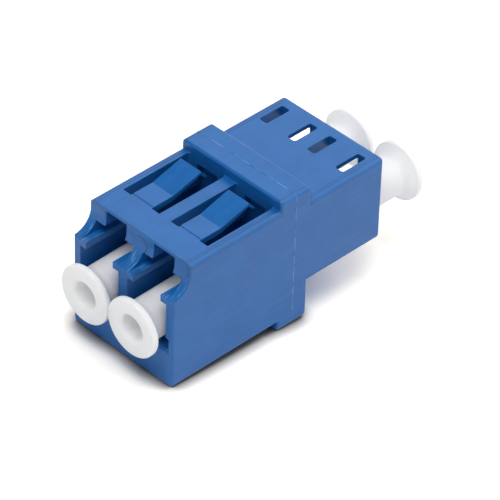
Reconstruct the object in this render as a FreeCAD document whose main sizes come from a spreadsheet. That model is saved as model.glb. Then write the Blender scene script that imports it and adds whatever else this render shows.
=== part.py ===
import FreeCAD, Part
import math
import os
import Sketcher

# Duplex fibre adapter: two welded housing halves, two split alignment sleeves and four dust caps.
# The frame stands on the underside of the collar, with Y = 0 at the weld in the collar's middle,
# where the fibres meet. The near end points to -Y, the far end to +Y, and Z is up. Millimetres.

doc = FreeCAD.newDocument("FibreAdapter")
sizes = doc.addObject("Spreadsheet::Sheet", "Sizes")

# Lengths along Y are measured from the weld, and heights from the underside of the collar.
DIMENSIONS = (
    ("pitch", 6.25, "distance between the two port axes"),
    ("axis_height", 7.2, "height of the port axes"),
    ("body_width", 13.1, "width of both housing halves and their collar"),
    ("corner_round", 0.42, "radius along the long edges"),
    ("near_mouth_round", 0.2, "radius round the front edges of the near half"),
    ("far_mouth_round", 0.35, "radius round the front edges of the far half"),
    ("collar_top", 15.1, "height of the collar"),
    ("collar_half", 1.85, "length of each half of the collar"),
    ("collar_edge", 0.25, "radius round the collar's front and rear edges"),
    ("seam_chamfer", 0.06, "bevel that leaves the fine groove at the weld"),
    ("near_length", 15.2, "reach of the near half"),
    ("near_bottom", 1.0, "underside of the near half"),
    ("near_top", 14.1, "roof of the near half"),
    ("near_roof", 0.8, "thickness of the near roof"),
    ("far_length", 11.4, "reach of the far half"),
    ("far_bottom", 4.05, "underside of the far half"),
    ("far_top", 13.4, "roof of the far half"),
    ("far_roof", 0.45, "thickness of the far roof over the latch slot"),
    ("port_width", 5.05, "width of the plug cavity"),
    ("floor_drop", 2.25, "port floor below the axis"),
    ("rail_gap", 3.56, "clear width between the rails that guide the plug"),
    ("rail_under", 3.1, "underside of the rails above the axis"),
    ("rail_thickness", 0.7, "thickness of the rails"),
    ("shoulder_under", 5.0, "underside of the latch shoulders above the axis"),
    ("latch_width", 2.66, "width of the slot for the plug's latch"),
    ("lead_in", 0.4, "bevel at the mouth beside the port floor"),
    ("floor_lead_in", 0.2, "bevel at the mouth in front of the port floor"),
    ("lead_in_rise", 1.1, "height of the side bevels above the floor"),
    ("roof_edge", 0.28, "thickness of the roof's front edge over the latch slot"),
    ("roof_lead_in", 1.4, "length of the slope behind that edge"),
    ("septum_half", 0.8, "half thickness of the wall between near and far ports"),
    ("catch_plane", 10.1, "face of the latch shoulders that a plug's latch catches on"),
    ("window_width", 4.8, "width of the roof windows in the near half"),
    ("window_corner", 0.35, "radius of the windows' corners at the collar"),
    ("line_inset", 0.7, "place of the fine lines along the roofs, from the sides"),
    ("line_depth", 0.08, "depth and width of those lines"),
    ("scoop_radius", 2.1, "radius of the hollow in front of the ears"),
    ("tongue_width", 2.7, "width of the panel latch tongues"),
    ("tongue_root", 0.6, "thickness of a tongue at its root"),
    ("tongue_end", 0.34, "thickness of a tongue at its crest"),
    ("tongue_bend", 7.45, "where the tongue leaves the roof plane"),
    ("tongue_crest", 3.95, "where the tongue is highest"),
    ("tongue_tip", 3.15, "where the tongue ends"),
    ("tongue_rise", 0.95, "height of the crest above the roof"),
    ("tongue_bite", 0.95, "drop of the slope behind the crest that bears on the panel"),
    ("tongue_edge", 0.06, "rise from a tongue's lower to its upper edge at the tip"),
    ("tongue_line", 0.22, "place of the fine line across a tongue's root, behind its window's edge"),
    ("slot_width", 1.03, "width of the latch slots in the far roof"),
    ("slot_length", 3.05, "length of the latch slots in the far roof"),
    ("slot_corner", 0.25, "radius of the latch slots' corners"),
    ("tube_radius", 1.47, "outside of the tubes that hold the sleeves"),
    ("tube_lip", 0.72, "inner radius of the lip that keeps the sleeve in its tube"),
    ("tube_funnel", 0.5, "length and widening of the funnel from that lip to the tube's mouth"),
    ("sleeve_radius", 0.81, "outside of the alignment sleeves"),
    ("sleeve_bore", 0.625, "radius of the sleeves' bore, a sliding seat for a 1.25 mm ferrule"),
    ("sleeve_half", 3.4, "half length of the sleeves"),
    ("sleeve_slit", 0.3, "width of the slit along a sleeve"),
    ("sleeve_play", 0.01, "radial clearance of a sleeve in its tube"),
    ("cap_face", 17.2, "front face of the dust caps"),
    ("cap_far_out", 0.25, "distance that the far caps stand further out than the near ones"),
    ("cap_flange", 3.06, "radius of a cap's flange"),
    ("cap_rim", 0.38, "thickness of the flange's rim"),
    ("cap_flare", 0.8, "radius of the curve between flange and barrel, drawn as three cones"),
    ("cap_barrel", 2.08, "radius of a cap's barrel"),
    ("cap_end", 3.2, "inner end of the caps"),
    ("cap_nose", 0.35, "bevel round the inner end"),
    ("cap_skirt", 1.62, "radius of the hollow that goes over the sleeve's tube"),
    ("cap_skirt_depth", 8.8, "depth of that hollow"),
    ("cap_recess", 1.52, "radius of the blind recess in the front face"),
    ("cap_recess_depth", 3.6, "depth of that recess"),
    ("cap_edge", 0.1, "bevel round the flange and the recess"),
)
for row, (alias, value, meaning) in enumerate(DIMENSIONS, start=1):
    sizes.set(f"A{row}", meaning)
    sizes.set(f"B{row}", str(value))
    sizes.setAlias(f"B{row}", alias)
doc.recompute()

NEAR, FAR = -1, 1
SIDES = {"left": -1, "right": 1}
# How far a cutting sketch reaches past the solid, and how near counts as the same place.
BEYOND, CLOSE = 1.0, 0.001
# Degrees for tapers, placements and expressions, and radians for arcs.
HALF_RIGHT_ANGLE, HALF_TURN = 45, 180
FLARE_TURNS = (0, 30, 60, 90)
QUARTER_TURN = math.pi / 2


def value(expression):
    """An expression of the driving dimensions as a number."""
    return float(sizes.evalExpression(expression))


def new_body(label):
    """An empty body whose label names its file."""
    body = doc.addObject("PartDesign::Body", label)
    body.Label = label
    return body


def sketch_on(body, name, role, offset="0"):
    """A sketch on one of the body's own planes, moved along the plane's normal."""
    plane = next(item for item in body.Origin.OriginFeatures if item.Role == role)
    sketch = body.newObject("Sketcher::SketchObject", name)
    sketch.AttachmentSupport = (plane, [""])
    sketch.MapMode = "FlatFace"
    sketch.setExpression(".AttachmentOffset.Base.z", offset)
    return sketch


def pin_point(sketch, edge, point, across, up):
    """Hold one point of a sketch at two expressions, measured from the sketch's origin."""
    for kind, expression in (("DistanceX", across), ("DistanceY", up)):
        index = sketch.addConstraint(Sketcher.Constraint(kind, -1, 1, edge, point, value(expression)))
        sketch.setExpression(f"Constraints[{index}]", expression)


def set_radius(sketch, edge, radius):
    """Hold the radius of a circle or an arc at an expression."""
    index = sketch.addConstraint(Sketcher.Constraint("Radius", edge, value(radius)))
    sketch.setExpression(f"Constraints[{index}]", radius)


def add_outline(sketch, corners):
    """A closed outline of straight edges through corners given as pairs of expressions."""
    first = sketch.GeometryCount
    count = len(corners)
    points = [FreeCAD.Vector(value(across), value(up), 0) for across, up in corners]
    for step in range(count):
        sketch.addGeometry(Part.LineSegment(points[step], points[(step + 1) % count]))
    for step in range(count):
        following = first + (step + 1) % count
        sketch.addConstraint(Sketcher.Constraint("Coincident", first + step, 2, following, 1))
        pin_point(sketch, first + step, 1, *corners[step])


def add_circle(sketch, across, up, radius):
    """A circle whose centre and radius are expressions."""
    centre = FreeCAD.Vector(value(across), value(up), 0)
    edge = sketch.addGeometry(Part.Circle(centre, FreeCAD.Vector(0, 0, 1), value(radius)))
    pin_point(sketch, edge, 3, across, up)
    set_radius(sketch, edge, radius)


def add_rounded_box(sketch, bottom, top):
    """The cross-section that both halves share: their width, with rounded corners."""
    radius = "Sizes.corner_round"
    levels = (f"{bottom} + {radius}", f"{top} - {radius}")
    across = f"(Sizes.body_width / 2 - {radius})"
    centres = ((1, levels[0]), (1, levels[1]), (-1, levels[1]), (-1, levels[0]))
    arcs = []
    for turn, (side, level) in enumerate(centres):
        centre = FreeCAD.Vector(side * value(across), value(level), 0)
        circle = Part.Circle(centre, FreeCAD.Vector(0, 0, 1), value(radius))
        arc = Part.ArcOfCircle(circle, (turn - 1) * QUARTER_TURN, turn * QUARTER_TURN)
        arcs.append(sketch.addGeometry(arc))
        pin_point(sketch, arcs[-1], 3, f"{side} * {across}", level)
        set_radius(sketch, arcs[-1], radius)
    for arc, following in zip(arcs, arcs[1:] + arcs[:1]):
        straight = Part.LineSegment(sketch.getPoint(arc, 2), sketch.getPoint(following, 1))
        line = sketch.addGeometry(straight)
        sketch.addConstraint(Sketcher.Constraint("Tangent", arc, 2, line, 1))
        sketch.addConstraint(Sketcher.Constraint("Tangent", line, 2, following, 1))


def box_corners(left, right, bottom, top):
    """The four corners of an upright rectangle."""
    return ((left, bottom), (right, bottom), (right, top), (left, top))


def extrude(body, kind, name, sketch, length, turned=False):
    """A pad or a pocket of a sketch. A pad follows the sketch's normal, a pocket goes against it."""
    feature = body.newObject(f"PartDesign::{kind}", name)
    feature.Profile = sketch
    feature.setExpression("Length", length)
    feature.Reversed = turned
    doc.recompute()
    return feature


def dress(body, kind, name, amount, rule):
    """A fillet or a chamfer on the edges of the body's tip that meet a rule."""
    base = body.Tip
    names = [f"Edge{number}" for number, edge in enumerate(base.Shape.Edges, 1) if rule(edge)]
    feature = body.newObject(f"PartDesign::{kind}", name)
    feature.Base = (base, names)
    feature.setExpression("Radius" if kind == "Fillet" else "Size", amount)
    doc.recompute()
    return feature


def flat_in(edge, axis, place):
    """Whether an edge lies in the plane where the given coordinate has one value."""
    box = edge.BoundBox
    low, high = getattr(box, axis + "Min"), getattr(box, axis + "Max")
    return abs(low - place) < CLOSE and abs(high - place) < CLOSE


def runs_along(edge, axis):
    """Whether an edge is straight and parallel to an axis."""
    box = edge.BoundBox
    spans = {"X": box.XLength, "Y": box.YLength, "Z": box.ZLength}
    return all((spans[name] > CLOSE) == (name == axis) for name in spans)


def port_corners(side, roof_under):
    """The cross-section of a port: the plug's cavity, rails, latch channel, shoulders and slot."""
    axis = "Sizes.axis_height"
    cavity = "Sizes.port_width / 2"
    rails = "Sizes.rail_gap / 2"
    latch = "Sizes.latch_width / 2"
    rail_under = f"{axis} + Sizes.rail_under"
    rail_top = f"{rail_under} + Sizes.rail_thickness"
    shoulders = f"{axis} + Sizes.shoulder_under"
    half = (
        (cavity, f"{axis} - Sizes.floor_drop"),
        (cavity, rail_under),
        (rails, rail_under),
        (rails, rail_top),
        (cavity, rail_top),
        (cavity, shoulders),
        (latch, shoulders),
        (latch, roof_under),
    )
    middle = f"{side} * Sizes.pitch / 2"
    right = [(f"{middle} + {across}", up) for across, up in half]
    left = [(f"{middle} - {across}", up) for across, up in reversed(half)]
    return right + left


def collar_half(body, end):
    """Half of the collar, rounded along its corners and round its outer edge."""
    outline = sketch_on(body, "collar_outline", "XZ_Plane")
    add_rounded_box(outline, "0", "Sizes.collar_top")
    extrude(body, "Pad", "collar", outline, "Sizes.collar_half", turned=end == FAR)
    reach = end * value("Sizes.collar_half")
    dress(body, "Fillet", "collar_rim", "Sizes.collar_edge", lambda edge: flat_in(edge, "Y", reach))


def housing_shell(label, end, bottom, top, length, mouth_round):
    """The outside of one half: its half of the collar and its body, before the ports are cut."""
    body = new_body(label)
    collar_half(body, end)
    outline = sketch_on(body, "body_outline", "XZ_Plane")
    add_rounded_box(outline, bottom, top)
    extrude(body, "Pad", "body_block", outline, length, turned=end == FAR)
    front = end * value(length)
    dress(body, "Fillet", "mouth_edges", mouth_round, lambda edge: flat_in(edge, "Y", front))
    dress(body, "Chamfer", "seam", "Sizes.seam_chamfer", lambda edge: flat_in(edge, "Y", 0))
    return body


def cut_edge_lines(body, end, top, length):
    """The fine lines left by the mould along both sides of the roof."""
    section = sketch_on(body, "line_section", "XZ_Plane", f"{-end} * Sizes.collar_half")
    for side in SIDES.values():
        middle = f"{side} * (Sizes.body_width / 2 - Sizes.line_inset)"
        corners = (
            (f"{middle} - Sizes.line_depth", f"{top} + Sizes.line_depth"),
            (middle, f"{top} - Sizes.line_depth"),
            (f"{middle} + Sizes.line_depth", f"{top} + Sizes.line_depth"),
        )
        add_outline(section, corners)
    extrude(body, "Pocket", "edge_lines", section, length, turned=end == NEAR)


def cut_ports(body, end, roof_under, length):
    """Both ports, from the wall between the ends out to the mouth, bevelled beside the floor."""
    wall = sketch_on(body, "port_section", "XZ_Plane", f"{-end} * Sizes.septum_half")
    for side in SIDES.values():
        add_outline(wall, port_corners(side, roof_under))
    extrude(body, "Pocket", "ports", wall, length, turned=end == NEAR)

    mouth = sketch_on(body, "mouth_section", "XZ_Plane", f"{-end} * {length}")
    reach = "Sizes.port_width / 2 + Sizes.lead_in"
    floor = "Sizes.axis_height - Sizes.floor_drop"
    for side in SIDES.values():
        middle = f"{side} * Sizes.pitch / 2"
        corners = box_corners(
            f"{middle} - ({reach})",
            f"{middle} + {reach}",
            f"{floor} - Sizes.floor_lead_in",
            f"{floor} + Sizes.lead_in_rise + Sizes.lead_in",
        )
        add_outline(mouth, corners)
    bevel = extrude(body, "Pocket", "mouth_bevel", mouth, "Sizes.lead_in", turned=end == FAR)
    bevel.TaperAngle = -HALF_RIGHT_ANGLE
    doc.recompute()


def sleeve_tubes(body, end):
    """Two half tubes on the wall between the ends: a seat for the sleeve, a lip and a funnel."""
    reach = "Sizes.sleeve_half + Sizes.tube_funnel"
    stock = sketch_on(body, "tube_section", "XZ_Plane")
    seat = sketch_on(body, "seat_section", "XZ_Plane")
    mouth = sketch_on(body, "funnel_section", "XZ_Plane", f"{-end} * ({reach})")
    for side in SIDES.values():
        middle = f"{side} * Sizes.pitch / 2"
        add_circle(stock, middle, "Sizes.axis_height", "Sizes.tube_radius")
        add_circle(seat, middle, "Sizes.axis_height", "Sizes.sleeve_radius + Sizes.sleeve_play")
        add_circle(mouth, middle, "Sizes.axis_height", "Sizes.tube_lip + Sizes.tube_funnel")
    extrude(body, "Pad", "tubes", stock, reach, turned=end == FAR)
    extrude(body, "Pocket", "sleeve_seats", seat, "Sizes.sleeve_half", turned=end == NEAR)
    funnel = extrude(body, "Pocket", "funnels", mouth, "Sizes.tube_funnel", turned=end == FAR)
    funnel.TaperAngle = -HALF_RIGHT_ANGLE
    doc.recompute()


def cut_scoop(body):
    """The hollow that sets the ears back over the mouth: a round scoop with a flat above it."""
    side = f"-(Sizes.body_width / 2 + {BEYOND})"
    across = f"Sizes.body_width + {2 * BEYOND}"
    front = "-Sizes.near_length"
    ledge = "Sizes.axis_height + Sizes.rail_under + Sizes.rail_thickness"
    ear = f"{front} + Sizes.scoop_radius"
    round_part = sketch_on(body, "scoop_circle", "YZ_Plane", side)
    add_circle(round_part, front, f"{ledge} + Sizes.scoop_radius", "Sizes.scoop_radius")
    extrude(body, "Pocket", "scoop", round_part, across, turned=True)
    flat_part = sketch_on(body, "ear_outline", "YZ_Plane", side)
    corners = box_corners(
        f"{front} - {BEYOND}", ear, f"{ledge} + Sizes.scoop_radius", f"Sizes.near_top + {BEYOND}")
    add_outline(flat_part, corners)
    extrude(body, "Pocket", "ear_faces", flat_part, across, turned=True)


def cut_roof_lead_ins(body):
    """The slope under the roof's front edge that lets the plug's latch in."""
    ear = "-Sizes.near_length + Sizes.scoop_radius"
    under = "Sizes.near_top - Sizes.near_roof"
    edge = "Sizes.near_top - Sizes.roof_edge"
    corners = (
        (f"{ear} - {BEYOND}", f"{under} - Sizes.roof_edge"),
        (f"{ear} + Sizes.roof_lead_in", f"{under} - Sizes.roof_edge"),
        (f"{ear} + Sizes.roof_lead_in", under),
        (ear, edge),
        (f"{ear} - {BEYOND}", edge),
    )
    for name, side in SIDES.items():
        start = f"{side} * Sizes.pitch / 2 - Sizes.latch_width / 2"
        wedge = sketch_on(body, f"lead_in_{name}", "YZ_Plane", start)
        add_outline(wedge, corners)
        extrude(body, "Pocket", f"roof_lead_in_{name}", wedge, "Sizes.latch_width", turned=True)


def cut_windows(body):
    """The roof windows, from the latch shoulders back to the collar, open to the latch channel."""
    ledge = "Sizes.axis_height + Sizes.rail_under + Sizes.rail_thickness"
    opening = sketch_on(body, "window_outline", "XY_Plane", ledge)
    for side in SIDES.values():
        middle = f"{side} * Sizes.pitch / 2"
        half = "Sizes.window_width / 2"
        corners = box_corners(
            f"{middle} - {half}", f"{middle} + {half}", "-Sizes.catch_plane", "-Sizes.collar_half")
        add_outline(opening, corners)
    depth = f"Sizes.near_top - ({ledge}) + {BEYOND}"
    extrude(body, "Pocket", "windows", opening, depth, turned=True)
    back = -value("Sizes.collar_half")
    top = value("Sizes.near_top")

    def is_back_corner(edge):
        reaches_roof = abs(edge.BoundBox.ZMax - top) < CLOSE
        return runs_along(edge, "Z") and flat_in(edge, "Y", back) and reaches_roof

    dress(body, "Fillet", "window_corners", "Sizes.window_corner", is_back_corner)


def add_tongues(body):
    """The panel latches: thin fingers that rise out of the roof to a crest before the collar."""
    roof = "Sizes.near_top"
    root = "-Sizes.catch_plane - Sizes.tongue_root"
    line = "-Sizes.catch_plane + Sizes.tongue_line"
    tip = f"{roof} + Sizes.tongue_rise - Sizes.tongue_bite"
    corners = (
        (root, f"{roof} - Sizes.tongue_root"),
        ("-Sizes.tongue_bend", f"{roof} - Sizes.tongue_root"),
        ("-Sizes.tongue_crest", f"{roof} + Sizes.tongue_rise - Sizes.tongue_end"),
        ("-Sizes.tongue_tip - Sizes.tongue_end", tip),
        ("-Sizes.tongue_tip", f"{tip} + Sizes.tongue_edge"),
        ("-Sizes.tongue_crest", f"{roof} + Sizes.tongue_rise"),
        ("-Sizes.tongue_bend", roof),
        (f"{line} + Sizes.line_depth", roof),
        (line, f"{roof} - Sizes.line_depth"),
        (f"{line} - Sizes.line_depth", roof),
        (root, roof),
    )
    for name, side in SIDES.items():
        start = f"{side} * Sizes.pitch / 2 - Sizes.tongue_width / 2"
        profile = sketch_on(body, f"tongue_profile_{name}", "YZ_Plane", start)
        add_outline(profile, corners)
        extrude(body, "Pad", f"tongue_{name}", profile, "Sizes.tongue_width")


def near_housing():
    """The near half: scooped mouth, two ports, roof windows and panel latches."""
    top, length = "Sizes.near_top", "Sizes.near_length"
    edge = "Sizes.near_mouth_round"
    body = housing_shell("near_housing", NEAR, "Sizes.near_bottom", top, length, edge)
    cut_scoop(body)
    cut_ports(body, NEAR, f"{top} - Sizes.near_roof", length)
    cut_roof_lead_ins(body)
    cut_windows(body)
    cut_edge_lines(body, NEAR, top, length)
    add_tongues(body)
    sleeve_tubes(body, NEAR)
    return body


def far_housing():
    """The far half: lower, with two ports under an unbroken roof and four latch slots in it."""
    top, length = "Sizes.far_top", "Sizes.far_length"
    edge = "Sizes.far_mouth_round"
    body = housing_shell("far_housing", FAR, "Sizes.far_bottom", top, length, edge)
    cut_ports(body, FAR, f"{top} - Sizes.far_roof", length)
    cut_latch_slots(body)
    cut_edge_lines(body, FAR, top, length)
    sleeve_tubes(body, FAR)
    return body


def cut_latch_slots(body):
    """Two slots over each far port, beside the latch slot, for the lugs of a plug's latch."""
    opening = sketch_on(body, "slot_outline", "XY_Plane", "Sizes.axis_height")
    for side in SIDES.values():
        for hand in (-1, 1):
            near_edge = f"{side} * Sizes.pitch / 2 + {hand} * Sizes.latch_width / 2"
            far_edge = f"{near_edge} + {hand} * Sizes.slot_width"
            edges = (near_edge, far_edge)[::hand]
            corners = box_corners(*edges, "Sizes.catch_plane - Sizes.slot_length", "Sizes.catch_plane")
            add_outline(opening, corners)
    extrude(body, "Pocket", "latch_slots", opening, "Sizes.far_top", turned=True)

    ends = (value("Sizes.catch_plane"), value("Sizes.catch_plane - Sizes.slot_length"))
    top = value("Sizes.far_top")

    def is_slot_corner(edge):
        at_end = any(flat_in(edge, "Y", place) for place in ends)
        return runs_along(edge, "Z") and at_end and abs(edge.BoundBox.ZMax - top) < CLOSE

    dress(body, "Fillet", "slot_corners", "Sizes.slot_corner", is_slot_corner)


def sleeve(name, side):
    """A split sleeve: a thin ceramic tube with one slit, which grips both ferrules."""
    body = new_body(f"sleeve_{name}")
    ring = sketch_on(body, "ring", "XZ_Plane", "-Sizes.sleeve_half")
    add_circle(ring, "0", "0", "Sizes.sleeve_radius")
    add_circle(ring, "0", "0", "Sizes.sleeve_bore")
    extrude(body, "Pad", "wall", ring, "2 * Sizes.sleeve_half")
    slit = sketch_on(body, "slit_outline", "XZ_Plane", "-Sizes.sleeve_half")
    half = "Sizes.sleeve_slit / 2"
    add_outline(slit, box_corners(f"-{half}", half, "0", f"Sizes.sleeve_radius + {BEYOND}"))
    extrude(body, "Pocket", "slit", slit, "2 * Sizes.sleeve_half", turned=True)
    body.setExpression("Placement.Base.x", f"{side} * Sizes.pitch / 2")
    body.setExpression("Placement.Base.z", "Sizes.axis_height")
    return body


def cap(end_name, end, name, side):
    """A dust cap: a barrel with a flared flange, hollow inside and blind in front."""
    body = new_body(f"cap_{end_name}_{name}")
    outline = sketch_on(body, "half_section", "YZ_Plane")
    rim_back = "-Sizes.cap_face + Sizes.cap_rim"
    flare = [
        (
            f"{rim_back} + Sizes.cap_flare * (1 - cos({turn}))",
            f"Sizes.cap_barrel + Sizes.cap_flare * (1 - sin({turn}))",
        )
        for turn in FLARE_TURNS
    ]
    corners = (
        ("-Sizes.cap_face", "Sizes.cap_recess + Sizes.cap_edge"),
        ("-Sizes.cap_face", "Sizes.cap_flange - Sizes.cap_edge"),
        ("-Sizes.cap_face + Sizes.cap_edge", "Sizes.cap_flange"),
        (rim_back, "Sizes.cap_flange"),
        *flare,
        ("-Sizes.cap_end - Sizes.cap_nose", "Sizes.cap_barrel"),
        ("-Sizes.cap_end", "Sizes.cap_barrel - Sizes.cap_nose"),
        ("-Sizes.cap_end", "Sizes.cap_skirt"),
        ("-Sizes.cap_end - Sizes.cap_skirt_depth", "Sizes.cap_skirt"),
        ("-Sizes.cap_end - Sizes.cap_skirt_depth", "0"),
        ("-Sizes.cap_face + Sizes.cap_recess_depth", "0"),
        ("-Sizes.cap_face + Sizes.cap_recess_depth", "Sizes.cap_recess"),
        ("-Sizes.cap_face + Sizes.cap_edge", "Sizes.cap_recess"),
    )
    add_outline(outline, corners)
    turned = body.newObject("PartDesign::Revolution", "turned")
    turned.Profile = outline
    turned.ReferenceAxis = (outline, ["H_Axis"])
    turned.Angle = 360
    doc.recompute()
    if end == FAR:
        body.Placement.Rotation = FreeCAD.Rotation(FreeCAD.Vector(0, 0, 1), HALF_TURN)
        body.setExpression("Placement.Base.y", "Sizes.cap_far_out")
    body.setExpression("Placement.Base.x", f"{side} * Sizes.pitch / 2")
    body.setExpression("Placement.Base.z", "Sizes.axis_height")
    return body


pieces = [near_housing(), far_housing()]
for name, side in SIDES.items():
    pieces.append(sleeve(name, side))
for end_name, end in (("near", NEAR), ("far", FAR)):
    for name, side in SIDES.items():
        pieces.append(cap(end_name, end, name, side))
doc.recompute()

failed = [item.Name for item in doc.Objects if {"Invalid", "Error"} & set(item.State)]
if failed:
    raise RuntimeError(f"these objects failed: {failed}")
for piece in pieces:
    if piece.Shape.isNull() or not piece.Shape.isValid() or len(piece.Shape.Solids) != 1:
        raise RuntimeError(f"{piece.Label} is not one valid solid")

os.makedirs("parts", exist_ok=True)
for piece in pieces:
    piece.Shape.exportStep(f"parts/{piece.Label}.step")
    print(f"{piece.Label}: {piece.Shape.Volume:.1f} cubic mm")
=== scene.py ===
import math

import bpy
import numpy as np
from mathutils import Matrix, Vector


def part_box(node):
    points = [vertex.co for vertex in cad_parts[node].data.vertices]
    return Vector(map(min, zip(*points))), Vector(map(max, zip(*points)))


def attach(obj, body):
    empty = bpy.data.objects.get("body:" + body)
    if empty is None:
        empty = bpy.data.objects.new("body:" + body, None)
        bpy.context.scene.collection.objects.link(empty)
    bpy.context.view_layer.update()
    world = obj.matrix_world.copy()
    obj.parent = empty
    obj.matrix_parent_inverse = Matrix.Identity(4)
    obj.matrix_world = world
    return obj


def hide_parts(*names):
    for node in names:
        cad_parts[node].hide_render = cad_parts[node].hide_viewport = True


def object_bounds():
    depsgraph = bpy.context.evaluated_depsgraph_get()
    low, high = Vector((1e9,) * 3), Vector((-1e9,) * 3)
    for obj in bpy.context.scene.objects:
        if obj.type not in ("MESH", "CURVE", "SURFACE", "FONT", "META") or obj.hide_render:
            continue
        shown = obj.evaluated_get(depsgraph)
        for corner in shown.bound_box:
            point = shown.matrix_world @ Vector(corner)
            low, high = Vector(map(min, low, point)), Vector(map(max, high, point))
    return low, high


# A duplex fibre adapter on a pale table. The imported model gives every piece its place: the frame
# stands on the underside of the collar, with Y = 0 at the weld where the fibres meet.
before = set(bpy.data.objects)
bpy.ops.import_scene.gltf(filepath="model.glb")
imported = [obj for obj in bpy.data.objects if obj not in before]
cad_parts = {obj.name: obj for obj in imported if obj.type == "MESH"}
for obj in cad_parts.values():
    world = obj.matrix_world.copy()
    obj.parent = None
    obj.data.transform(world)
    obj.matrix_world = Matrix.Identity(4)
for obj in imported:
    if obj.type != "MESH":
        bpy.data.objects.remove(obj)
packed_low, packed_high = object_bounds()


# ---- Housing halves ---------------------------------------------------------------------------
# Two blue injection mouldings, welded together in the middle of the collar. The mould's walls
# give them a satin skin, its ejector pins leave a fine ring on each ear over the mouth, and the
# scoops in front of the ears are polished along their curve. Painted shade darkens the upper right
# half of each ring and fine lines along the roofs' rounded edges, and painted highlights streak
# the scoops along their curve.

MM = 0.001
HOUSING_BLUE = (0.0076, 0.138, 0.440, 1)
HOUSING_BLUE_DEEP = (0.0058, 0.118, 0.392, 1)
# Painted shade: the dark colour drawn into the pins' rings and the lines along the rounded edges.
PAINTED_SHADE_BLUE = (0.0020, 0.040, 0.120, 1)
# Painted highlight: the light colour of the streaks along the scoops.
PAINTED_HIGHLIGHT_BLUE = (0.16, 0.36, 0.66, 1)
SATIN_ROUGHNESS = (0.30, 0.38)
EDGE_RADIUS, EDGE_SAMPLES = 0.09 * MM, 6
PIN_RADIUS = 0.87 * MM
PIN_CENTRES = tuple(
    Vector(place) * MM for place in ((-5.43, 0, 13.13), (0, 0, 12.65), (5.43, 0, 13.13)))
# The rings are drawn only on the half that faces this way, where the painted shade goes.
PIN_SHADE_TOWARDS, PIN_FADE = (0.8, 0, 0.6), (-0.1 * MM, 0.35 * MM)
MARK_WIDTH, MARK_FADE, EDGE_LINE_SHARE = 0.05 * MM, 0.02 * MM, 0.75
EAR_BACK, SCOOP_FRONT = -13.0 * MM, -15.25 * MM
SCOOP_LOW, SCOOP_HIGH = 10.95 * MM, 11.9 * MM
ROUNDING_INSIDE = 6.1 * MM
NEAR_ROUNDING_FOOT, FAR_ROUNDING_FOOT = 13.66 * MM, 12.96 * MM
ROOF_LOWEST, WALL_INSIDE, COLLAR_BACK = 13.2 * MM, 6.4 * MM, 1.85 * MM
SCOOP_FADE_ALONG, SCOOP_FADE_UP = 0.05 * MM, 0.25 * MM
# Noises, each as features in a metre, detail, roughness and the stretch along X, Y and Z.
MOTTLE = (420, 3)
FLOW_LINES = (1500, 5, 0.65, (1, 0.14, 1))
GLOSS_PATCHES = (1400, 5)
GRAIN = (7000, 6, 0.65)
LINE_BREAKS = (2600, 2)
STREAKS = (5200, 3, 0.6, (1, 0.12, 0.12))
# Where each noise begins and ends to count.
TONE_EDGE, GLOSS_EDGE, BREAK_EDGE, STREAK_EDGE = (0.8, 1.2), (0.3, 0.7), (0.35, 0.6), (0.55, 0.66)
# Bumps, each as its strength and its height.
GRAIN_BUMP, FLOW_BUMP, MARK_BUMP = (0.35, 0.008 * MM), (0.3, 0.02 * MM), (0.7, -0.03 * MM)


def new_material(name):
    """A material with an empty node tree but for its output."""
    material = bpy.data.materials.new(name)
    material.use_nodes = True
    tree = material.node_tree
    tree.nodes.clear()
    return material, tree, tree.nodes.new("ShaderNodeOutputMaterial")


def vector_step(tree, operation, vector, other=None):
    """One operation on a vector, with a plain second vector where it takes one."""
    node = tree.nodes.new("ShaderNodeVectorMath")
    node.operation = operation
    tree.links.new(vector, node.inputs[0])
    if other is not None:
        node.inputs[1].default_value = other
    return node.outputs


def object_place(tree, stretch=(1, 1, 1)):
    """Object coordinates in metres, each multiplied by its own stretch."""
    place = tree.nodes.new("ShaderNodeTexCoord")
    return vector_step(tree, "MULTIPLY", place.outputs["Object"], stretch)["Vector"]


def noise_at(tree, scale, detail=4.0, roughness=0.5, stretch=(1, 1, 1)):
    """Noise over Object coordinates; its scale is in features per metre."""
    noise = tree.nodes.new("ShaderNodeTexNoise")
    noise.inputs["Scale"].default_value = scale
    noise.inputs["Detail"].default_value = detail
    noise.inputs["Roughness"].default_value = roughness
    tree.links.new(object_place(tree, stretch), noise.inputs["Vector"])
    return noise.outputs["Fac"]


def step_between(tree, value, low, high, bottom=0.0, top=1.0):
    """A value that goes from bottom to top as another goes from low to high."""
    step = tree.nodes.new("ShaderNodeMapRange")
    step.inputs["From Min"].default_value = low
    step.inputs["From Max"].default_value = high
    step.inputs["To Min"].default_value = bottom
    step.inputs["To Max"].default_value = top
    tree.links.new(value, step.inputs["Value"])
    return step.outputs["Result"]


def work_out(tree, operation, first, second=None):
    """One operation on one or two values, where the second may be a plain number."""
    node = tree.nodes.new("ShaderNodeMath")
    node.operation = operation
    tree.links.new(first, node.inputs[0])
    if isinstance(second, (int, float)):
        node.inputs[1].default_value = second
    elif second is not None:
        tree.links.new(second, node.inputs[1])
    return node.outputs["Value"]


def blend_colours(tree, factor, low, high):
    """A colour between two others; either may be a plain colour or a socket."""
    mix = tree.nodes.new("ShaderNodeMix")
    mix.data_type = "RGBA"
    tree.links.new(factor, mix.inputs["Factor"])
    for colour, socket in ((low, mix.inputs[6]), (high, mix.inputs[7])):
        if isinstance(colour, tuple):
            socket.default_value = colour
        else:
            tree.links.new(colour, socket)
    return mix.outputs[2]


def bumped(tree, height, strength, distance, normal=None):
    """A normal pushed in and out by a height, on top of another normal."""
    bump = tree.nodes.new("ShaderNodeBump")
    bump.inputs["Strength"].default_value = strength
    bump.inputs["Distance"].default_value = distance
    tree.links.new(height, bump.inputs["Height"])
    if normal is not None:
        tree.links.new(normal, bump.inputs["Normal"])
    return bump.outputs["Normal"]


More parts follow.
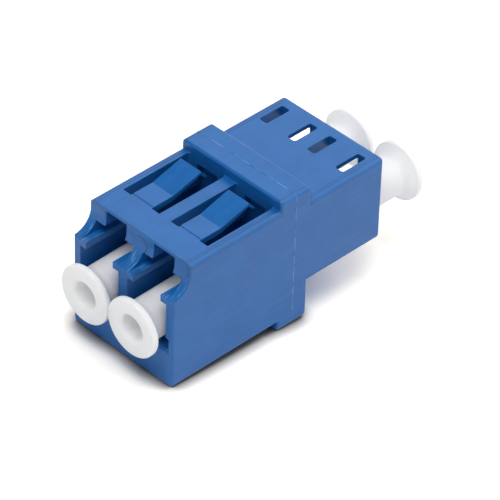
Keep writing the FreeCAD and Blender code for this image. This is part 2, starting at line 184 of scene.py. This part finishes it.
def place_parts(tree):
    """The three Object coordinates, each as a value of its own."""
    parts = tree.nodes.new("ShaderNodeSeparateXYZ")
    tree.links.new(object_place(tree), parts.inputs["Vector"])
    return parts.outputs["X"], parts.outputs["Y"], parts.outputs["Z"]


def within(tree, value, low, high, fade):
    """One where a value lies between two others and nothing outside them, with soft ends."""
    rise = step_between(tree, value, low - fade, low + fade)
    fall = step_between(tree, value, high - fade, high + fade, 1.0, 0.0)
    return work_out(tree, "MULTIPLY", rise, fall)


def fine_line(tree, value, centre):
    """One on a fine line where a value meets its centre, nothing a line's width away."""
    off = work_out(tree, "ABSOLUTE", work_out(tree, "SUBTRACT", value, centre))
    return step_between(tree, off, MARK_WIDTH / 2, MARK_WIDTH, 1.0, 0.0)


def pin_mark(tree, centre):
    """The upper right half of a fine ring about an axis along Y, the half that is given painted
    shade:
    where the offset from the centre, taken across Y, is as long as the pin's radius and points up
    or to the right."""
    offset = vector_step(tree, "SUBTRACT", object_place(tree), centre)["Vector"]
    across = vector_step(tree, "MULTIPLY", offset, (1, 0, 1))["Vector"]
    length = vector_step(tree, "LENGTH", across)["Value"]
    side = vector_step(tree, "DOT_PRODUCT", across, PIN_SHADE_TOWARDS)["Value"]
    ring = fine_line(tree, length, PIN_RADIUS)
    shown = step_between(tree, side, *PIN_FADE)
    return work_out(tree, "MULTIPLY", ring, shown)


def mould_marks(tree):
    """One on the mould's rings and lines, nothing elsewhere: the pins' rings on the ears, and the
    fine lines where the rounded edges of the roofs run into the roofs and the walls. These get a
    bump and painted shade."""
    x, y, z = place_parts(tree)
    rings = None
    for centre in PIN_CENTRES:
        ring = pin_mark(tree, centre)
        rings = ring if rings is None else work_out(tree, "MAXIMUM", rings, ring)
    rings = work_out(tree, "MULTIPLY", rings, within(tree, y, SCOOP_FRONT, EAR_BACK, MARK_FADE))
    sideways = work_out(tree, "ABSOLUTE", x)
    on_roof = step_between(tree, z, ROOF_LOWEST, ROOF_LOWEST + MARK_FADE)
    inside = work_out(tree, "MULTIPLY", fine_line(tree, sideways, ROUNDING_INSIDE), on_roof)
    on_wall = step_between(tree, sideways, WALL_INSIDE, WALL_INSIDE + MARK_FADE)
    on_far = step_between(tree, y, COLLAR_BACK - MARK_FADE / 2, COLLAR_BACK + MARK_FADE / 2)
    foot = step_between(tree, on_far, 0, 1, NEAR_ROUNDING_FOOT, FAR_ROUNDING_FOOT)
    below = work_out(tree, "MULTIPLY", fine_line(tree, z, foot), on_wall)
    broken = step_between(tree, noise_at(tree, *LINE_BREAKS), *BREAK_EDGE)
    below = work_out(tree, "MULTIPLY", below, broken)
    edges = work_out(tree, "MAXIMUM", inside, below)
    edges = work_out(tree, "MULTIPLY", edges, EDGE_LINE_SHARE)
    return work_out(tree, "MAXIMUM", rings, edges)


def painted_highlight_streaks(tree):
    """Painted highlight streaks along the scoops' curve: noise that is fine across them and long
    along them.
    """
    _, y, z = place_parts(tree)
    lines = step_between(tree, noise_at(tree, *STREAKS), *STREAK_EDGE)
    along = within(tree, y, SCOOP_FRONT, EAR_BACK, SCOOP_FADE_ALONG)
    upward = within(tree, z, SCOOP_LOW, SCOOP_HIGH, SCOOP_FADE_UP)
    return work_out(tree, "MULTIPLY", lines, work_out(tree, "MULTIPLY", along, upward))


def moulded_plastic():
    """Satin blue plastic: broad mottling and faint flow lines in its colour, patches in its
    gloss, a fine grain, the pins' rings and the lines along the roofs' rounded edges bumped in and
    darkened with painted shade, and painted highlight streaks along the polished scoops."""
    material, tree, output = new_material("blue_moulded_plastic")
    shader = tree.nodes.new("ShaderNodeBsdfPrincipled")
    shaded_marks, streaks = mould_marks(tree), painted_highlight_streaks(tree)

    flow = noise_at(tree, *FLOW_LINES)
    tone = step_between(tree, work_out(tree, "ADD", noise_at(tree, *MOTTLE), flow), *TONE_EDGE)
    blue = blend_colours(tree, tone, HOUSING_BLUE_DEEP, HOUSING_BLUE)
    # Painted highlight streaks lighten the scoops along their curve.
    blue = blend_colours(tree, streaks, blue, PAINTED_HIGHLIGHT_BLUE)
    # Painted shade darkens the pins' rings and the lines along the rounded edges.
    blue = blend_colours(tree, shaded_marks, blue, PAINTED_SHADE_BLUE)
    tree.links.new(blue, shader.inputs["Base Color"])

    gloss = step_between(tree, noise_at(tree, *GLOSS_PATCHES), *GLOSS_EDGE, *SATIN_ROUGHNESS)
    tree.links.new(gloss, shader.inputs["Roughness"])

    edge = tree.nodes.new("ShaderNodeBevel")
    edge.samples = EDGE_SAMPLES
    edge.inputs["Radius"].default_value = EDGE_RADIUS
    skin = bumped(tree, noise_at(tree, *GRAIN), *GRAIN_BUMP, edge.outputs["Normal"])
    waves = bumped(tree, flow, *FLOW_BUMP, skin)
    scored = bumped(tree, shaded_marks, *MARK_BUMP, waves)
    tree.links.new(scored, shader.inputs["Normal"])
    tree.links.new(shader.outputs["BSDF"], output.inputs["Surface"])
    return material


def finish(node, material):
    """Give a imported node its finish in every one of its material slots."""
    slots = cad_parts[node].data.materials
    if not len(slots):
        slots.append(material)
    for index in range(len(slots)):
        slots[index] = material


blue_plastic = moulded_plastic()
for half in ("near_housing", "far_housing"):
    finish(half, blue_plastic)


# ---- Weld flash -------------------------------------------------------------------------------
# The thin ridge of plastic that the weld presses up into the groove round the collar's middle.
# It follows the collar's outline, and paler patches painted on it stand in for its highlight.

FLASH_RADIUS = 0.11 * MM
FLASH_SINK = 0.08 * MM
FLASH_SIDES, FLASH_CORNER_STEPS = 12, 9
# Painted highlight: the paler colour of the ridge.
FLASH_HIGHLIGHT_BLUE, FLASH_ROUGHNESS = (0.10, 0.28, 0.58, 1), 0.4
FLASH_PATCHES, PATCH_EDGE = (900, 3), (0.4, 0.6)
COLLAR_ROUND = 0.42 * MM


def rounded_outline(low, high, radius, steps):
    """A closed rectangle in X and Z with round corners: each corner's centre plus the radius
    turned through its quarter. Gives the points and the outward directions at them."""
    quarter = np.linspace(0, math.pi / 2, steps)
    starts = np.array([-math.pi / 2, 0, math.pi / 2, math.pi])
    turn = (starts[:, None] + quarter[None, :]).ravel()
    outward = np.column_stack((np.cos(turn), np.sin(turn)))
    right, left = high[0] - radius, low[0] + radius
    top, bottom = high[1] - radius, low[1] + radius
    centres = np.array([[right, bottom], [right, top], [left, top], [left, bottom]])
    return np.repeat(centres, steps, axis=0) + radius * outward, outward


def ridge_mesh(name, path, outward, radius, sides):
    """A closed tube round a loop in the plane Y = 0: each path point plus the radius times the
    outward direction and the Y axis, turned by the cosine and the sine of the way round."""
    turn = np.linspace(0, 2 * math.pi, sides, endpoint=False)
    middle = np.column_stack((path[:, 0], np.zeros(len(path)), path[:, 1]))
    away = np.column_stack((outward[:, 0], np.zeros(len(path)), outward[:, 1]))
    along = np.array([0.0, 1.0, 0.0])
    rings = (
        middle[:, None, :]
        + radius * np.cos(turn)[None, :, None] * away[:, None, :]
        + radius * np.sin(turn)[None, :, None] * along[None, None, :]
    )
    here = np.arange(len(path))[:, None] * sides
    after = np.roll(np.arange(len(path)), -1)[:, None] * sides
    side, beside = np.arange(sides), np.roll(np.arange(sides), -1)
    quads = np.stack((here + side, after + side, after + beside, here + beside), axis=-1)
    mesh = bpy.data.meshes.new(name)
    mesh.from_pydata(rings.reshape(-1, 3).tolist(), [], quads.reshape(-1, 4).tolist())
    mesh.shade_smooth()
    return mesh


def painted_highlight_flash():
    """The housing's plastic with a painted highlight: paler in patches along the ridge."""
    material, tree, output = new_material("weld_flash_painted_highlight")
    shader = tree.nodes.new("ShaderNodeBsdfPrincipled")
    shader.inputs["Roughness"].default_value = FLASH_ROUGHNESS
    patches = step_between(tree, noise_at(tree, *FLASH_PATCHES), *PATCH_EDGE)
    # Painted highlight in patches along the ridge.
    blue = blend_colours(tree, patches, HOUSING_BLUE, FLASH_HIGHLIGHT_BLUE)
    tree.links.new(blue, shader.inputs["Base Color"])
    tree.links.new(shader.outputs["BSDF"], output.inputs["Surface"])
    return material


collar_low, collar_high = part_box("near_housing")
outline, outward = rounded_outline(
    (collar_low.x, collar_low.z), (collar_high.x, collar_high.z), COLLAR_ROUND,
    FLASH_CORNER_STEPS)
flash_mesh = ridge_mesh(
    "weld_flash", outline - outward * FLASH_SINK, outward, FLASH_RADIUS, FLASH_SIDES)
flash_mesh.materials.append(painted_highlight_flash())
weld_flash = bpy.data.objects.new("weld_flash", flash_mesh)
bpy.context.scene.collection.objects.link(weld_flash)
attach(weld_flash, "housing")


# ---- Alignment sleeves ------------------------------------------------------------------------
# Split tubes of ground zirconia, off-white and a little glossy, held out of sight in the two
# half tubes of the housing, where they line up the ferrules of both plugs.

CERAMIC_WHITE = (0.86, 0.84, 0.78, 1)
CERAMIC_SHADE = (0.80, 0.78, 0.72, 1)
CERAMIC_ROUGHNESS = 0.22
GRINDING, GRINDING_EDGE = (6000, 4, 0.5, (0.1, 1, 0.1)), (0.3, 0.7)


def ground_ceramic():
    """Off-white ceramic with the fine shading round the tube that grinding leaves."""
    material, tree, output = new_material("ground_zirconia")
    shader = tree.nodes.new("ShaderNodeBsdfPrincipled")
    shader.inputs["Roughness"].default_value = CERAMIC_ROUGHNESS
    tone = step_between(tree, noise_at(tree, *GRINDING), *GRINDING_EDGE)
    white = blend_colours(tree, tone, CERAMIC_SHADE, CERAMIC_WHITE)
    tree.links.new(white, shader.inputs["Base Color"])
    tree.links.new(shader.outputs["BSDF"], output.inputs["Surface"])
    return material


zirconia = ground_ceramic()
for sleeve in ("sleeve_left", "sleeve_right"):
    finish(sleeve, zirconia)


# ---- Dust caps --------------------------------------------------------------------------------
# Soft white polyethylene caps, one pushed into each port: a barrel that flares into a flange
# with a blind recess in its face, and a hollow that goes over the sleeve's tube. They are
# moulded, so every edge is rounded, and pushed in by hand, so each sits a hair askew.

CAP_WHITE = (0.97, 0.97, 0.975, 1)
CAP_SHADE = (0.95, 0.95, 0.96, 1)
CAP_LIGHT_DEPTH, CAP_LIGHT_REACH = 1.0 * MM, (1.0, 0.97, 0.94)
CAP_CLOUD, CAP_CLOUD_EDGE = (300, 3), (0.35, 0.65)
CAP_SKIN, CAP_SKIN_EDGE, CAP_SKIN_BUMP = (2500, 4), (0.3, 0.7), (0.2, 0.006 * MM)
CAP_ROUGHNESS = (0.42, 0.52)
CAP_STEPS, ROUNDING_STEPS, MOUTH_STEPS, FLARE_STEPS = 160, 7, 9, 12
SHARP_EDGE = math.radians(40)
CAP_FLANGE = 3.03 * MM
CAP_RIM = 0.66 * MM
CAP_RIM_ROUND = 0.16 * MM
CAP_BARREL = 2.08 * MM
CAP_FLARE_END = 1.72 * MM
CAP_FLARE_TURN = (1.2 * MM, 2.24 * MM)
CAP_RECESS = 1.33 * MM
CAP_RECESS_DEPTH = 2.2 * MM
CAP_RECESS_MOUTH = 0.4 * MM
CAP_RECESS_FOOT = 0.3 * MM
CAP_SKIRT = 1.62 * MM
CAP_SKIRT_DEPTH = 8.8 * MM
CAP_NOSE = 0.35 * MM
CAP_PIVOT = 8.0 * MM
# How far each cap leans in its port, in degrees: its face to the right, and down.
CAP_LEAN = {
    "near_left": (0.7, 0.7),
    "near_right": (0.4, 0.7),
    "far_left": (-0.3, -1.1),
    "far_right": (0.9, 0.9),
}


def arc(centre, radius, start, end, steps):
    """Points on a circle in the half section, from one angle to another in degrees."""
    turn = np.radians(np.linspace(start, end, steps))
    return np.column_stack((centre[0] + radius * np.cos(turn), centre[1] + radius * np.sin(turn)))


def flare(start, turn, end, steps):
    """A curve between two points of the half section that leaves the first towards a third
    and reaches the last from it: (1 - t) squared, 2 t (1 - t) and t squared of the three."""
    t = np.linspace(0, 1, steps)[:, None]
    return (1 - t) ** 2 * start + 2 * t * (1 - t) * turn + t ** 2 * end


def cap_section(length):
    """The half section, as pairs of depth behind the face and radius, from the axis in the
    recess, out over the flange and along the barrel, and back to the axis in the hollow."""
    foot = (CAP_RECESS_DEPTH - CAP_RECESS_FOOT, CAP_RECESS - CAP_RECESS_FOOT)
    mouth = (CAP_RECESS_MOUTH, CAP_RECESS + CAP_RECESS_MOUTH)
    rim_front = (CAP_RIM_ROUND, CAP_FLANGE - CAP_RIM_ROUND)
    rim_back = (CAP_RIM - CAP_RIM_ROUND, CAP_FLANGE - CAP_RIM_ROUND)
    rim_end = np.array((CAP_RIM, CAP_FLANGE - CAP_RIM_ROUND))
    barrel_start = np.array((CAP_FLARE_END, CAP_BARREL))
    hollow = length - CAP_SKIRT_DEPTH
    return np.vstack((
        [(CAP_RECESS_DEPTH, 0.0)],
        arc(foot, CAP_RECESS_FOOT, 0, 90, ROUNDING_STEPS),
        arc(mouth, CAP_RECESS_MOUTH, 270, 180, MOUTH_STEPS),
        arc(rim_front, CAP_RIM_ROUND, 180, 90, ROUNDING_STEPS),
        arc(rim_back, CAP_RIM_ROUND, 90, 0, ROUNDING_STEPS),
        flare(rim_end, np.array(CAP_FLARE_TURN), barrel_start, FLARE_STEPS)[1:],
        [(length - CAP_NOSE, CAP_BARREL), (length, CAP_BARREL - CAP_NOSE)],
        [(length, CAP_SKIRT), (hollow, CAP_SKIRT), (hollow, 0.0)],
    ))


def turned_mesh(name, section, steps):
    """A closed surface of revolution: point (i, j) is section point i turned by j steps about
    the axis, so x = r sin(turn), y = depth and z = r cos(turn), with one point at each pole."""
    depth, radius = section[1:-1, 0], section[1:-1, 1]
    turn = np.linspace(0, 2 * math.pi, steps, endpoint=False)
    rows = len(radius)
    grid = np.empty((rows, steps, 3))
    grid[:, :, 0] = radius[:, None] * np.sin(turn)
    grid[:, :, 1] = depth[:, None]
    grid[:, :, 2] = radius[:, None] * np.cos(turn)
    poles = np.array([[0, section[0, 0], 0], [0, section[-1, 0], 0]])
    points = np.vstack((grid.reshape(-1, 3), poles))
    here, beside = np.arange(steps), np.roll(np.arange(steps), -1)
    row = steps * np.arange(rows - 1)[:, None]
    quads = np.stack(
        (row + here, row + steps + here, row + steps + beside, row + beside), axis=-1)
    first, last, end = rows * steps, rows * steps + 1, steps * (rows - 1)
    front_fan = np.column_stack((np.full(steps, first), here, beside))
    back_fan = np.column_stack((np.full(steps, last), end + beside, end + here))
    faces = quads.reshape(-1, 4).tolist() + front_fan.tolist() + back_fan.tolist()
    mesh = bpy.data.meshes.new(name)
    mesh.from_pydata(points.tolist(), [], faces)
    mesh.shade_smooth()
    mesh.set_sharp_from_angle(angle=SHARP_EDGE)
    return mesh


def soft_polyethylene():
    """Milky white plastic: light passes a little way under a satin, faintly mottled skin."""
    material, tree, output = new_material("soft_white_polyethylene")
    shader = tree.nodes.new("ShaderNodeBsdfPrincipled")
    shader.inputs["Subsurface Weight"].default_value = 1.0
    shader.inputs["Subsurface Radius"].default_value = CAP_LIGHT_REACH
    shader.inputs["Subsurface Scale"].default_value = CAP_LIGHT_DEPTH
    cloud = step_between(tree, noise_at(tree, *CAP_CLOUD), *CAP_CLOUD_EDGE)
    white = blend_colours(tree, cloud, CAP_SHADE, CAP_WHITE)
    tree.links.new(white, shader.inputs["Base Color"])
    skin = noise_at(tree, *CAP_SKIN)
    gloss = step_between(tree, skin, *CAP_SKIN_EDGE, *CAP_ROUGHNESS)
    tree.links.new(gloss, shader.inputs["Roughness"])
    tree.links.new(bumped(tree, skin, *CAP_SKIN_BUMP), shader.inputs["Normal"])
    tree.links.new(shader.outputs["BSDF"], output.inputs["Surface"])
    return material


white_cap = soft_polyethylene()
for end, facing, outward in (("near", 0.0, -1), ("far", math.pi, 1)):
    for side in ("left", "right"):
        name = f"{end}_{side}"
        low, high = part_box(f"cap_{name}")
        mesh = turned_mesh(f"dust_cap_{name}", cap_section(high.y - low.y), CAP_STEPS)
        sideways, down = (math.radians(angle) for angle in CAP_LEAN[name])
        front = high.y if outward > 0 else low.y
        face = Vector(((low.x + high.x) / 2, front, (low.z + high.z) / 2))
        pivot = face - Vector((0, outward * CAP_PIVOT, 0))
        lean = (
            Matrix.Rotation(-outward * sideways, 4, "Z")
            @ Matrix.Rotation(-outward * down, 4, "X"))
        mesh.transform(
            Matrix.Translation(pivot) @ lean @ Matrix.Translation(face - pivot)
            @ Matrix.Rotation(facing, 4, "Z"))
        mesh.materials.append(white_cap)
        cap = bpy.data.objects.new(f"dust_cap_{name}", mesh)
        bpy.context.scene.collection.objects.link(cap)
        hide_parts(f"cap_{name}")
        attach(cap, f"cap_{name}_body")


# ---- Table ------------------------------------------------------------------------------------
# A plain white table. The adapter leans on the lower front edge of its near end and on the front
# of its collar, so the table's plane goes through those two lines. A painted contact shadow
# darkens it a little where the adapter comes close to it.

NOSE_HEIGHT = 1.0 * MM
COLLAR_FRONT = -1.6 * MM
TABLE_REACH = 2.0
TABLE_WHITE = (0.90, 0.90, 0.90, 1)
WARM_WHITE = (0.70, 0.67, 0.625, 1)
CONTACT_SHADE = (0.10, 0.095, 0.09, 1)
CONTACT_REACH, CONTACT_SAMPLES, CONTACT_EDGE = 1.6 * MM, 16, (0.45, 1.0)
near_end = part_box("near_housing")[0].y
slope = NOSE_HEIGHT / (COLLAR_FRONT - near_end)
edges = np.array([(-1, -1), (1, -1), (1, 1), (-1, 1)]) * TABLE_REACH
corners = np.column_stack((edges, -slope * (edges[:, 1] - COLLAR_FRONT)))
table_mesh = bpy.data.meshes.new("table")
table_mesh.from_pydata(corners.tolist(), [], [(0, 1, 2, 3)])
table = bpy.data.objects.new("table", table_mesh)
bpy.context.scene.collection.objects.link(table)


def add_shaders(tree, first, second):
    """The sum of two shaders."""
    both = tree.nodes.new("ShaderNodeAddShader")
    tree.links.new(first, both.inputs[0])
    tree.links.new(second, both.inputs[1])
    return both.outputs["Shader"]


def seen_directly(tree, plain, seen):
    """One shader for what the camera sees, and another for all other light."""
    path = tree.nodes.new("ShaderNodeLightPath")
    mix = tree.nodes.new("ShaderNodeMixShader")
    tree.links.new(path.outputs["Is Camera Ray"], mix.inputs["Fac"])
    tree.links.new(plain, mix.inputs[1])
    tree.links.new(seen, mix.inputs[2])
    return mix.outputs["Shader"]


def matt_paint(tree, colour):
    """A matt surface in one plain colour, or in the colour of a socket."""
    paint = tree.nodes.new("ShaderNodeBsdfDiffuse")
    if isinstance(colour, tuple):
        paint.inputs["Color"].default_value = colour
    else:
        tree.links.new(colour, paint.inputs["Color"])
    return paint.outputs["BSDF"]


white_table, tree, output = new_material("white_table")
# Painted contact shadow: ambient occlusion blends the table's colour towards CONTACT_SHADE near
# the adapter.
nearness = tree.nodes.new("ShaderNodeAmbientOcclusion")
nearness.samples = CONTACT_SAMPLES
nearness.inputs["Distance"].default_value = CONTACT_REACH
open_air = step_between(tree, nearness.outputs["AO"], *CONTACT_EDGE)
painted_shadow_white = blend_colours(tree, open_air, CONTACT_SHADE, WARM_WHITE)
bright = add_shaders(tree, matt_paint(tree, painted_shadow_white), matt_paint(tree, painted_shadow_white))
paint = seen_directly(tree, matt_paint(tree, TABLE_WHITE), bright)
tree.links.new(paint, output.inputs["Surface"])
table_mesh.materials.append(white_table)


# ---- Light ------------------------------------------------------------------------------------
# A soft lamp straight above, and a pale room that is brighter behind the table than in front of
# it, dark between its walls and the lamp, and has a window high in its back wall.

SIDE_WALL, FRONT_WALL, BACK_WALL, CEILING = 0.26, 0.72, 1.5, 0.05
WALL_TOP = (0.66, 0.78)
BACK_WALL_EDGE = (0.28, 0.46)
FRONT_WALL_EDGE = (-1.0, -0.2)
WINDOW, WINDOW_SIDES, WINDOW_FADE, WINDOW_FOOT = 1.6, (0.1, 0.55), 0.12, (0.45, 0.65)
LAMP_DIRECTION, LAMP_DISTANCE = Vector((0.12, -0.24, 1.0)), 0.5
LAMP_WIDTH, LAMP_POWER = 0.34, 1.66

world = bpy.data.worlds.new("room")
bpy.context.scene.world = world
world.use_nodes = True
tree = world.node_tree
tree.nodes.clear()
output = tree.nodes.new("ShaderNodeOutputWorld")
direction = tree.nodes.new("ShaderNodeTexCoord")
parts = tree.nodes.new("ShaderNodeSeparateXYZ")
tree.links.new(direction.outputs["Generated"], parts.inputs["Vector"])
back_wall = step_between(tree, parts.outputs["Y"], *BACK_WALL_EDGE, 0.0, BACK_WALL)
window = within(tree, parts.outputs["X"], *WINDOW_SIDES, WINDOW_FADE)
above_foot = step_between(tree, parts.outputs["Z"], *WINDOW_FOOT)
window = work_out(tree, "MULTIPLY", window, above_foot)
on_back_wall = step_between(tree, parts.outputs["Y"], *BACK_WALL_EDGE)
window = work_out(tree, "MULTIPLY", window, on_back_wall)
front_wall = step_between(tree, parts.outputs["Y"], *FRONT_WALL_EDGE, FRONT_WALL, SIDE_WALL)
below_top = step_between(tree, parts.outputs["Z"], *WALL_TOP, 1.0, CEILING / SIDE_WALL)
front_wall = work_out(tree, "MULTIPLY", front_wall, below_top)
strength = work_out(tree, "MAXIMUM", back_wall, front_wall)
strength = work_out(tree, "ADD", strength, work_out(tree, "MULTIPLY", window, WINDOW))
room = tree.nodes.new("ShaderNodeBackground")
tree.links.new(strength, room.inputs["Strength"])
white = tree.nodes.new("ShaderNodeBackground")
shown = seen_directly(tree, room.outputs["Background"], white.outputs["Background"])
tree.links.new(shown, output.inputs["Surface"])

lamp = bpy.data.lights.new("overhead_softbox", "AREA")
lamp.size = LAMP_WIDTH
lamp.energy = LAMP_POWER
holder = bpy.data.objects.new("overhead_softbox", lamp)
away = LAMP_DIRECTION.normalized()
holder.location = (packed_low + packed_high) / 2 + away * LAMP_DISTANCE
holder.rotation_euler = (-away).to_track_quat("-Z", "Y").to_euler()
bpy.context.scene.collection.objects.link(holder)


# ---- Camera -----------------------------------------------------------------------------------
# Looking down on the near end and the right side, with a long lens.

AZIMUTH, ELEVATION, ROLL = (math.radians(angle) for angle in (44.6, 39.09, 1.88))
DISTANCE = 0.3324
AIM = Vector((-0.53, 1.41, 3.72)) * MM
LENS, SENSOR_WIDTH = 256.9, 36
NEAREST, FARTHEST = 0.01, 10

back = Vector((
    math.sin(AZIMUTH) * math.cos(ELEVATION),
    -math.cos(AZIMUTH) * math.cos(ELEVATION),
    math.sin(ELEVATION),
))
right = Vector((math.cos(AZIMUTH), math.sin(AZIMUTH), 0))
up = back.cross(right)
rolled_right = right * math.cos(ROLL) + up * math.sin(ROLL)
rolled_up = up * math.cos(ROLL) - right * math.sin(ROLL)
lens = bpy.data.cameras.new("camera")
lens.lens = LENS
lens.sensor_width = SENSOR_WIDTH
lens.clip_start, lens.clip_end = NEAREST, FARTHEST
camera = bpy.data.objects.new("camera", lens)
turn = Matrix((rolled_right, rolled_up, back)).transposed().to_4x4()
camera.matrix_world = Matrix.Translation(AIM + back * DISTANCE) @ turn
bpy.context.scene.collection.objects.link(camera)
bpy.context.scene.camera = camera
bpy.context.scene.view_settings.view_transform = "Standard"
